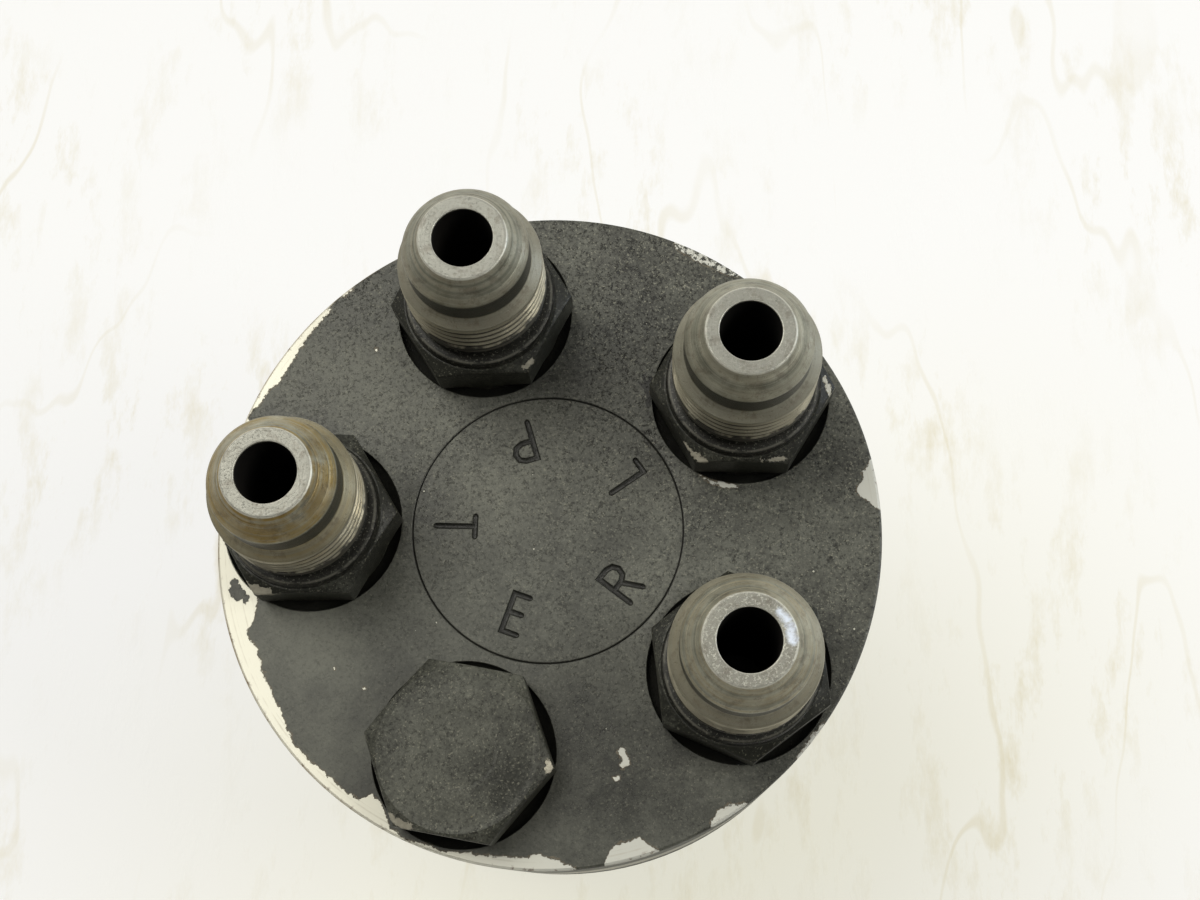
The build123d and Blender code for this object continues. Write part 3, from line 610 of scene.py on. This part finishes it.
def flareBands(tree, colour, place, values):  # threads, their roots, the wall and the light chamfer; painted shade darkens the wall and, with grime, the roots
    look, z = flareLook, place["Z"]
    threadHigh, wallLow, wallHigh = adapter["threadHigh"], look["wallLow"], look["wallHigh"]
    threads = stretch(tree, z, threadHigh + 0.05, threadHigh - 0.1)
    colour = layOver(tree, colour, look["thread"], threads, 0.65)
    # painted shade: the nose wall, which faces sideways, is darkened
    colour = layOver(tree, colour, look["shadeAndGrime"], stretch(tree, z, wallLow, wallLow + 0.2),
                     stretch(tree, z, wallHigh + 0.2, wallHigh), 0.86)
    chamferColour = blend(tree, values["stain"] * 0.6, look["chamfer"], values["tint"])
    colour = layOver(tree, colour, chamferColour, stretch(tree, z, threadHigh - 0.1, threadHigh + 0.05),
                     stretch(tree, z, wallLow + 0.1, wallLow), 0.6)
    # painted shade with grime: thread roots under the crests are darkened
    return layOver(tree, colour, look["shadeAndGrime"], stretch(tree, place["Reach"], *look["rootShadeReach"]), threads, 0.85)


def makeFlareSteel(name):
    values, look = steelTints[name], flareLook
    material, tree, shader, position = startMaterial("flareSteel_" + name)
    place = useGroup(tree, "polar", position)
    z, flatHeight = place["Z"], look["flatHeight"]
    fineLines, wideLines = [useGroup(tree, "turned", position, LineSize=look[key], Seed=values["seed"])
                            for key in ("fineLines", "wideLines")]
    grime = useGroup(tree, "grime", position, PatchSize=look["patchSize"], GrainSize=look["grainSize"],
                     Grit=look["grit"], Seed=values["seed"])
    colour = flareBase(tree, position, place, wideLines, fineLines, values)
    colour = flareBands(tree, colour, place, values)
    flat = stretch(tree, z, flatHeight, flatHeight + 0.06)
    crumbs = product(tree, speckle(tree, position, *look["crumbNoise"]), values["pitted"])
    flatColour = layOver(tree, values["flat"], look["crumb"], crumbs, values["crumb"])
    flatColour = layOver(tree, flatColour, look["flatPit"], grime["Pit"], values["pitted"])
    colour = layOver(tree, colour, flatColour, flat)
    # painted highlight, partly worn edge: a pale line along the flat's outer rim
    colour = layOver(tree, colour, look["rimWearAndHighlight"], nearness(tree, z, flatHeight - 0.03, 0.16, 0.05), 0.85)
    colour = layOver(tree, colour, look["pit"], grime["Pit"], 0.4)
    lower = total(tree, z, product(tree, grainNoise(tree, position, 3.0), look["paintWander"]))
    painted = stretch(tree, lower, look["paintLine"] + 1.7, look["paintLine"] + 1.3)
    colour = layOver(tree, colour, look["paint"], painted, 0.9)
    # painted reflection: a bluish-white lamp highlight on the flat, drawn as a pale mottled patch
    if "glintStrokes" in values:
        away = spotDistance(tree, position, values["glintStrokes"])
        away = total(tree, away, product(tree, grainNoise(tree, position, 0.9, 4.0, 0.8), 1.2))
        colour = layOver(tree, colour, look["glintTint"], stretch(tree, away, 0.75, 0.1), 0.95)
    colour = layOver(tree, colour, look["smear"], speckle(tree, position, *look["smearNoise"]),
                     stretch(tree, z, adapter["threadHigh"], adapter["threadHigh"] + 1.0), 0.35)
    metallic = product(tree, inverse(tree, painted), look["metal"])
    rough = stretch(tree, grime["Haze"], 0, 1, *look["roughness"])
    fill(tree, shader, {"Base Color": colour, "Metallic": metallic, "Roughness": rough})
    level = total(tree, fineLines["Height"], product(tree, grime["Height"], look["pitRise"]),
                  product(tree, crumbs, flat))
    addBump(tree, shader, level, look["bump"])
    return material


metalLook = {"lineSize": 0.25, "patchSize": 10.0, "pit": (0.03, 0.028, 0.025, 1), "pitShare": 0.5,
             "roughnessSpan": 0.15, "pitRise": 0.4, "bump": 0.015}
metals = {  # dark, light, lowest roughness and how metallic
    "groundSteel": ((0.42, 0.41, 0.38, 1), (0.68, 0.66, 0.62, 1), 0.28, 1.0),
    "valveSteel": ((0.36, 0.36, 0.36, 1), (0.6, 0.6, 0.6, 1), 0.2, 1.0),
    "bearingSteel": ((0.5, 0.5, 0.5, 1), (0.72, 0.72, 0.72, 1), 0.15, 1.0),
    "springSteel": ((0.12, 0.13, 0.17, 1), (0.3, 0.31, 0.36, 1), 0.3, 1.0),
    "screwSteel": ((0.03, 0.03, 0.032, 1), (0.09, 0.09, 0.095, 1), 0.35, 0.8),
}


def makeMetal(name, dark, light, rough, metallic):
    look = metalLook
    material, tree, shader, position = startMaterial(name)
    lines = useGroup(tree, "turned", position, LineSize=look["lineSize"])
    grime = useGroup(tree, "grime", position, PatchSize=look["patchSize"])
    colour = layOver(tree, blend(tree, lines["Tone"], dark, light), look["pit"], grime["Pit"], look["pitShare"])
    rough = stretch(tree, grime["Haze"], 0, 1, rough, rough + look["roughnessSpan"])
    fill(tree, shader, {"Base Color": colour, "Metallic": metallic, "Roughness": rough})
    level = total(tree, lines["Height"], product(tree, grime["Height"], look["pitRise"]))
    addBump(tree, shader, level, look["bump"])
    return material


castLook = {"seed": 40.0, "grit": 0.35, "specks": 0.2, "castNoise": (1.1, 3.0, 0.6), "specular": 0.4,
            "paintRise": 0.3, "bump": 0.16}


def makeCastPaint():
    look = castLook
    material, tree, shader, position = startMaterial("castPaint")
    old = useGroup(tree, "blackPaint", position, Seed=look["seed"], Grit=look["grit"], Specks=look["specks"])
    fill(tree, shader, {"Base Color": old["Colour"], "Roughness": old["Roughness"],
                        "Specular IOR Level": look["specular"]})
    level = total(tree, product(tree, old["Height"], look["paintRise"]),
                  grainNoise(tree, position, *look["castNoise"]))
    addBump(tree, shader, level, look["bump"])
    return material


plainLooks = {  # dark, light, grain size, roughness, specular and bump
    # boreShadeAndGrime: near-black painted shade with grime inside the adapters' bores
    "boreShadeAndGrime": ((0.004, 0.004, 0.004, 1), (0.02, 0.018, 0.016, 1), 0.8, (0.6, 0.9), 0.15, 0.03),
    "sealRubber": ((0.012, 0.012, 0.012, 1), (0.035, 0.034, 0.033, 1), 0.5, (0.45, 0.7), 0.5, 0.02),
    "cagePlastic": ((0.5, 0.46, 0.34, 1), (0.72, 0.68, 0.55, 1), 0.9, (0.4, 0.55), 0.5, 0.02),
}


def makePlain(name, dark, light, size, roughness, specular, depth):
    material, tree, shader, position = startMaterial(name)
    grain = grainNoise(tree, position, size)
    colour, rough = blend(tree, grain, dark, light), stretch(tree, grain, 0, 1, *roughness)
    fill(tree, shader, {"Base Color": colour, "Roughness": rough, "Specular IOR Level": specular})
    addBump(tree, shader, grain, depth)
    return material


materials = {"portPaint": makeCoverPaint(), "castPaint": makeCastPaint()}
materials.update({name: makeMetal(name, *values) for name, values in metals.items()})
materials.update({name: makePlain(name, *values) for name, values in plainLooks.items()})
print("materials made")


cover = {
    "segments": 256, "toolSegments": 128,
    "rimRounding": 0.4, "grooveRadius": 21.6, "grooveWidth": 0.55, "grooveDepth": 0.4,
    "spotfaceRadius": 14.2, "spotfaceDepth": 1.5, "lipWidth": 0.2, "lipDepth": 0.15, "lipAbove": 0.05,
    "seatRadius": 12.1, "seatDepth": 2.4, "threadRadius": 10.7, "portDepth": 16.0,
    "markRadius": 14.7, "markHeight": 6.2, "strokeRadius": 0.52, "strokeSink": 0.08, "strokeSides": 14,
}

# strokes in a box one high, foot at 0 and cap at 1
roundHead = [(0, 0), (0, 1), (0.3, 1), (0.46, 0.93), (0.52, 0.77), (0.46, 0.6), (0.3, 0.52), (0, 0.52)]
portMarks = {
    "l": [[(0, 1), (0, 0), (0.36, 0)]],
    "p": [roundHead],
    "t": [[(0.26, 0), (0.26, 1)], [(0, 1), (0.52, 1)]],
    "plug": [[(0.4, 1), (0, 1), (0, 0), (0.4, 0)], [(0, 0.52), (0.34, 0.52)]],
    "r": [roundHead, [(0.26, 0.52), (0.52, 0)]],
}


def strokeTool(path, radius, level, sides):  # a bar along the path, rounded at both ends
    rings = []
    for k, point in enumerate(path):
        before = (point - path[k - 1]).normalized() if k else (path[1] - point).normalized()
        after = (path[k + 1] - point).normalized() if k < len(path) - 1 else before
        along = (before + after).normalized()
        side = Vector((-along.y, along.x, 0)) / max(along.dot(before), 0.5)
        ends = [(-1, 0.35), (-0.6, 0.8), (0, 1)] if k == 0 else [(0, 1)]
        ends = [(0, 1), (0.6, 0.8), (1, 0.35)] if k == len(path) - 1 else ends
        for shift, size in ends:
            rings.append((point + along * shift * radius, side * radius * size, radius * size))
    verts, faces = [], []
    for centre, side, half in rings:
        for k in range(sides):
            angle = 2 * math.pi * k / sides
            verts.append(centre + side * math.cos(angle) + Vector((0, 0, level + half * math.sin(angle))))
    for i in range(len(rings) - 1):
        for k in range(sides):
            n = (k + 1) % sides
            faces.append((i * sides + k, i * sides + n, (i + 1) * sides + n, (i + 1) * sides + k))
    faces.append(list(range(sides))[::-1])
    faces.append(list(range((len(rings) - 1) * sides, len(rings) * sides)))
    return cleanMesh(makeObject("stroke", verts, faces))


def cutMark(body, name, strokes):
    outward = portCentre(name).normalized()
    up, right = -outward, Vector((-outward.y, outward.x, 0))
    width = max(x for stroke in strokes for x, y in stroke)
    size = cover["markHeight"]
    for stroke in strokes:
        path = [outward * cover["markRadius"] + right * (x - width / 2) * size + up * (y - 0.5) * size
                for x, y in stroke]
        cut(body, strokeTool(path, cover["strokeRadius"], portFace + cover["strokeSink"], cover["strokeSides"]))


def makeCover():
    base, top, r = coverLow.z / mm, portFace, bodyRadius
    groove, half, edge = cover["grooveRadius"], cover["grooveWidth"] / 2, cover["rimRounding"]
    rows = [(r - edge, base), (r, base + edge), (r, top - edge), (r - edge * 0.3, top - edge * 0.3),
            (r - edge, top), (groove + half, top), (groove, top - cover["grooveDepth"]), (groove - half, top)]
    body = lathe("portCover", rows, cover["segments"], flatEnds=True)
    seat, floor, above = top - cover["spotfaceDepth"], top - cover["portDepth"], top + 2
    thread, spotface, lip = cover["threadRadius"], cover["spotfaceRadius"], cover["lipWidth"]
    tool = [(0, floor), (thread, floor), (thread, seat - cover["seatDepth"]), (cover["seatRadius"], seat),
            (spotface, seat), (spotface, top - cover["lipDepth"]), (spotface + lip, top + cover["lipAbove"]),
            (spotface + lip, above), (0, above)]
    for name in layout["ports"]:
        cut(body, lathe("tool", tool, cover["toolSegments"], place=portCentre(name)))
    for name, strokes in portMarks.items():
        cutMark(body, name, strokes)
    cleanMesh(body, meshLook["cutSharpAngle"])
    paintWhole(body, materials["portPaint"])
    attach(body, "housing")
    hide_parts("port_cover")


makeCover()
print("port cover made")


adapter = {  # mm, heights above the port face
    "segments": 180, "acrossFlats": 25.4, "hexLow": 0.8, "hexHigh": 8.0, "washerRadius": 12.4, "bevel": 30,
    "foot": -13.0, "footRadius": 9.6, "stubLow": -12.0, "stubHigh": -4.1, "stubRadius": 10.55, "neckRadius": 9.3,
    "collarRadius": 12.0, "collarHigh": 9.6, "reliefRadius": 10.0, "threadLow": 13.7, "threadHigh": 23.0,
    "threadRadius": 11.11, "threadDepth": 1.05, "pitch": 25.4 / 14, "rowsPerPitch": 14, "fadeIn": 0.9,
    "fadeOut": 1.1, "crest": 0.16, "flank": 0.72, "noseRadius": 9.5, "noseLow": 24.4, "coneLow": 29.0,
    "tip": 33.0, "tipRadius": 6.48, "boreRadius": 4.5,
}


def hexRow(drop, inset=0.0, atTop=True):
    def row(angle):
        turn = (angle + math.pi / 6) % (math.pi / 3) - math.pi / 6
        r = adapter["acrossFlats"] / 2 / math.cos(math.pi / 6 - abs(turn))
        fall = max(r - adapter["washerRadius"], 0) * math.tan(math.radians(adapter["bevel"]))
        z = adapter["hexHigh"] - fall - drop if atTop else adapter["hexLow"] + drop
        return r - inset, z
    return row


def hexRows(inner):  # from the foot in the port to the hexagon's top
    v, seat = adapter, -cover["spotfaceDepth"]
    return [(inner, v["foot"]), (v["footRadius"], v["foot"]), (v["stubRadius"], v["stubLow"]),
            (v["stubRadius"], v["stubHigh"]), (v["neckRadius"], v["stubHigh"]), (v["neckRadius"], seat),
            (v["washerRadius"], seat), (v["washerRadius"], v["hexLow"]),
            hexRow(0.0, 0.25, False), hexRow(0.12, 0.06, False), hexRow(0.3, 0.0, False),
            hexRow(0.3), hexRow(0.12, 0.03), hexRow(0.0, 0.12), hexRow(-0.12, 0.35)]


def threadRow(z, seed):
    v = adapter
    fade = min(1.0, (z - v["threadLow"]) / v["fadeIn"], (v["threadHigh"] - z) / v["fadeOut"])

    def row(angle):
        phase = (z / v["pitch"] - angle / (2 * math.pi) + seed) % 1.0
        tooth = max(0.0, 1 - max(0.0, abs(phase - 0.5) * 2 - v["crest"]) / v["flank"])
        return v["threadRadius"] - v["threadDepth"] * (1 - tooth) * max(fade, 0.0), z
    return row


def coneRow(height, sink=0.0):
    slope = (adapter["noseRadius"] - adapter["tipRadius"]) / (adapter["tip"] - adapter["coneLow"])
    return adapter["noseRadius"] - slope * height - sink, adapter["coneLow"] + height


def makeAdapter(name):
    v, seed = adapter, steelTints[name]["seed"]
    hexHigh, collar, collarHigh, relief = v["hexHigh"], v["collarRadius"], v["collarHigh"], v["reliefRadius"]
    nose, coneLow, tip, tipRadius, bore = v["noseRadius"], v["coneLow"], v["tip"], v["tipRadius"], v["boreRadius"]
    rows = hexRows(bore)
    rows += [(v["washerRadius"] - 0.05, hexHigh), (collar + 0.1, hexHigh), (collar, hexHigh + 0.15),
             (collar, collarHigh - 0.7), (collar - 0.2, collarHigh - 0.25), (collar - 0.7, collarHigh),
             (relief + 0.5, collarHigh), (relief, collarHigh + 0.5), (relief, v["threadLow"] - 0.9)]
    painted = len(rows) - 1
    rows.append((v["threadRadius"] - v["threadDepth"] * 0.5, v["threadLow"] - 0.2))
    step = v["pitch"] / v["rowsPerPitch"]
    count = int((v["threadHigh"] - v["threadLow"]) / step)
    rows += [threadRow(v["threadLow"] + step * k, seed) for k in range(count + 1)]
    rows += [(v["threadRadius"] - 0.1, v["threadHigh"] + 0.12), (nose + 0.1, v["noseLow"]),
             (nose, v["noseLow"] + 0.3), (nose, coneLow - 0.15), (nose - 0.08, coneLow + 0.08),
             coneRow(1.1), coneRow(1.17, 0.05), coneRow(1.3), coneRow(2.75), coneRow(2.82, 0.06), coneRow(3.0),
             (tipRadius + 0.13, tip - 0.17), (tipRadius + 0.02, tip - 0.05), (tipRadius - 0.14, tip),
             (tipRadius - 0.3, tip), (bore + 0.3, tip), (bore + 0.2, tip), (bore + 0.06, tip - 0.08),
             (bore, tip - 0.35)]
    steel = len(rows) - 1

    def slotOf(row):
        return 0 if row < painted else 1 if row < steel else 2

    piece = lathe("portAdapter_" + name, rows, v["segments"], True, slotOf, portCentre(name, portFace),
                  math.radians(layout["hexTurn"][name]))
    # slot 2, the bore, gets near-black painted shade with grime
    for material in (makeHexPaint(name, seed), makeFlareSteel(name), materials["boreShadeAndGrime"]):
        piece.data.materials.append(material)
    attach(piece, "housing")
    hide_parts("port_fitting_" + name)


plugLook = {"seed": 50.0, "ringOuter": 6.2, "ringMiddle": 5.9, "ringInner": 5.4}


def makePlug():
    top, washer = adapter["hexHigh"], adapter["washerRadius"]
    rows = hexRows(0)
    rows += [(washer - 0.1, top), (washer - 0.7, top - 0.02), (washer - 1.2, top - 0.12),
             (washer - 3, top - 0.05), (plugLook["ringOuter"], top + 0.02), (plugLook["ringMiddle"], top - 0.08),
             (plugLook["ringInner"], top - 0.02), (0, top - 0.02)]
    piece = lathe("portPlug", rows, adapter["segments"], place=portCentre("plug", portFace),
                  turn=math.radians(layout["hexTurn"]["plug"]))
    piece.data.materials.append(makeHexPaint("plug", plugLook["seed"]))
    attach(piece, "housing")
    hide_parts("port_plug")


for name in steelTints:
    makeAdapter(name)
makePlug()
print("adapters and plug made")


softened = {  # bevel width of the outer pieces, mm
    "rotor_ring": 0.35, "wear_plate": 0.3, "valve_housing": 0.6, "mounting_flange": 0.6, "clamp_screws": 0.3,
    "flange_screws": 0.3,
}
softening = {"weldGap": 2e-6, "flatAngle": 1.0, "bevelAngle": 40, "bevelSegments": 2}


def softenPiece(name, width, slot, material):
    mesh = frame["nodes"][name].data.copy()
    piece = addObject("soft_" + name, mesh)
    bm = bmesh.new()
    bm.from_mesh(mesh)
    bmesh.ops.remove_doubles(bm, verts=bm.verts, dist=softening["weldGap"])
    bmesh.ops.dissolve_limit(bm, angle_limit=math.radians(softening["flatAngle"]), verts=bm.verts, edges=bm.edges)
    bm.to_mesh(mesh)
    bm.free()
    bevel = piece.modifiers.new("bevel", "BEVEL")
    bevel.width = width * mm
    bevel.segments = softening["bevelSegments"]
    bevel.limit_method = "ANGLE"
    bevel.angle_limit = math.radians(softening["bevelAngle"])
    applyModifiers(piece)
    cleanMesh(piece, meshLook["softSharpAngle"])
    paintWhole(piece, material)
    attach(piece, "housing")
    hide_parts(name)


finishes = {
    "ground_steel": "groundSteel", "valve_steel": "valveSteel", "bearing_steel": "bearingSteel",
    "spring_steel": "springSteel", "screw_steel": "screwSteel", "housing_paint": "castPaint",
    "seal_rubber": "sealRubber", "cage_plastic": "cagePlastic", "port_paint": "castPaint",
    "turned_steel": "valveSteel",
}
for part in frame["record"]["subparts"]:
    name, slot = part["node"], part["material_slot"]
    material = materials[finishes[slot]]
    paintWhole(frame["nodes"][name], material)
    if name in softened:
        softenPiece(name, softened[name], slot, material)
print("frame pieces finished")


studio = {  # lamps: place and size in m, power in W, tint
    "floorSize": 3.0,
    # floorShadowTint: painted shadow with a warm tint, a darker and yellower floor near the object towards +X and
    # -Y
    "floorShadowTint": (0.95, 0.93, 0.79, 1), "floorFar": (1.0, 0.998, 0.985, 1), "shadowReach": (160.0, 62.0),
    "shadowLean": 0.5, "shadowSide": (-60.0, 70.0),
    "streak": (0.78, 0.71, 0.5, 1), "streakStretch": (1.0, 0.3, 1.0), "streakShare": 0.65,
    "streakNoise": ((9.0, 5.0, 0.72), (0.52, 0.7)), "cloudNoise": ((70.0, 3.0, 0.5), (0.4, 0.65)),
    "scratchNoise": (45.0, 3.0, 0.4), "scratchBand": (0.5, 0.006, 0.002), "scratchShare": 0.4,
    "seenShare": 0.63, "seenBase": 0.37, "bounceBase": 0.8, "roughness": 0.7, "bump": 0.1,
    "lamps": {
        "keyLamp": ((-0.55, 0.45, 1.25), 0.9, 9.2, (1.0, 0.98, 0.9)),
        "fillLamp": ((0.75, 0.0, 0.85), 0.5, 3.6, (1.0, 0.98, 0.9)),
        "coolLamp": ((0.95, 0.33, 0.35), 0.3, 1.6, (0.72, 0.84, 1.0)),
    },
    "skySeen": 0.96, "skyLow": 0.03, "skyHigh": 0.62, "skyStart": 0.1, "skyLean": (-0.05, 0.66, 0.75),
    "skyTint": (1.0, 0.985, 0.93, 1),
    "cameraPlace": (18.862, -55.007, 363.467), "cameraTurn": (15.1825, 2.0421, 1.6034),
    "lens": 48.516, "sensor": 36.0, "clipStart": 0.01,
}


def floorTint(tree, position):
    place = useGroup(tree, "polar", position)
    # painted shadow with a warm tint: the floor near the object is darker and yellower on the side where its
    # shadow falls (+X, -Y)
    closeBy = stretch(tree, place["Reach"], *studio["shadowReach"])
    lean = minus(tree, product(tree, place["X"], studio["shadowLean"]), place["Y"])
    slope = stretch(tree, lean, *studio["shadowSide"])
    tint = layOver(tree, studio["floorFar"], studio["floorShadowTint"], slope, closeBy)
    stretched = put(tree, "ShaderNodeMapping", {"Vector": position, "Scale": studio["streakStretch"]}).outputs[0]
    streaks = speckle(tree, stretched, *studio["streakNoise"])
    clouds = speckle(tree, position, *studio["cloudNoise"])
    tint = layOver(tree, tint, studio["streak"], streaks, clouds, studio["streakShare"])
    scratch = nearness(tree, grainNoise(tree, stretched, *studio["scratchNoise"]), *studio["scratchBand"])
    return layOver(tree, tint, studio["streak"], scratch, clouds, studio["scratchShare"]), streaks


def makeFloor():
    half = studio["floorSize"] / 2 / mm
    floor = makeObject("floor", [(-half, -half, 0), (half, -half, 0), (half, half, 0), (-half, half, 0)],
                       [(0, 1, 2, 3)])
    material, tree, shader, position = startMaterial("paleTable")
    tint, streaks = floorTint(tree, position)
    seen = put(tree, "ShaderNodeLightPath").outputs["Is Camera Ray"]
    base = minus(tree, studio["bounceBase"], product(tree, seen, studio["bounceBase"] - studio["seenBase"]))
    fill(tree, shader, {"Base Color": scaled(tree, tint, base), "Roughness": studio["roughness"],
                        "Specular IOR Level": 0.0, "Emission Color": tint,
                        "Emission Strength": product(tree, seen, studio["seenShare"])})
    addBump(tree, shader, streaks, studio["bump"])
    floor.data.materials.append(material)


def makeLamp(name, place, size, power, tint):
    data = bpy.data.lights.new(name, "AREA")
    data.shape = "DISK"
    data.size = size
    data.energy = power
    data.color = tint
    lamp = addObject(name, data)
    lamp.location = place
    aim = Vector((0, 0, portFace * mm)) - Vector(place)
    lamp.rotation_euler = aim.to_track_quat("-Z", "Y").to_euler()


def makeSky():
    world = bpy.data.worlds.new("softSky")
    scene.world = world
    world.use_nodes = True
    tree = world.node_tree
    direction = put(tree, "ShaderNodeTexCoord").outputs["Generated"]
    lean = vectorCalc(tree, "DOT_PRODUCT", direction, studio["skyLean"])["Value"]
    level = stretch(tree, lean, studio["skyStart"], 1.0, studio["skyLow"], studio["skyHigh"])
    seen = put(tree, "ShaderNodeLightPath").outputs["Is Camera Ray"]
    level = calc(tree, "MAXIMUM", level, product(tree, seen, studio["skySeen"]))
    fill(tree, tree.nodes["Background"], {"Color": studio["skyTint"], "Strength": level})


def makeCamera():
    data = bpy.data.cameras.new("camera")
    data.lens = studio["lens"]
    data.sensor_width = studio["sensor"]
    data.clip_start = studio["clipStart"]
    camera = addObject("camera", data)
    camera.location = Vector(studio["cameraPlace"]) * mm
    camera.rotation_euler = Euler([math.radians(a) for a in studio["cameraTurn"]], "XYZ")
    scene.camera = camera


makeFloor()
for name, values in studio["lamps"].items():
    makeLamp(name, *values)
makeSky()
makeCamera()
scene.view_settings.view_transform = "Standard"
print("studio made")
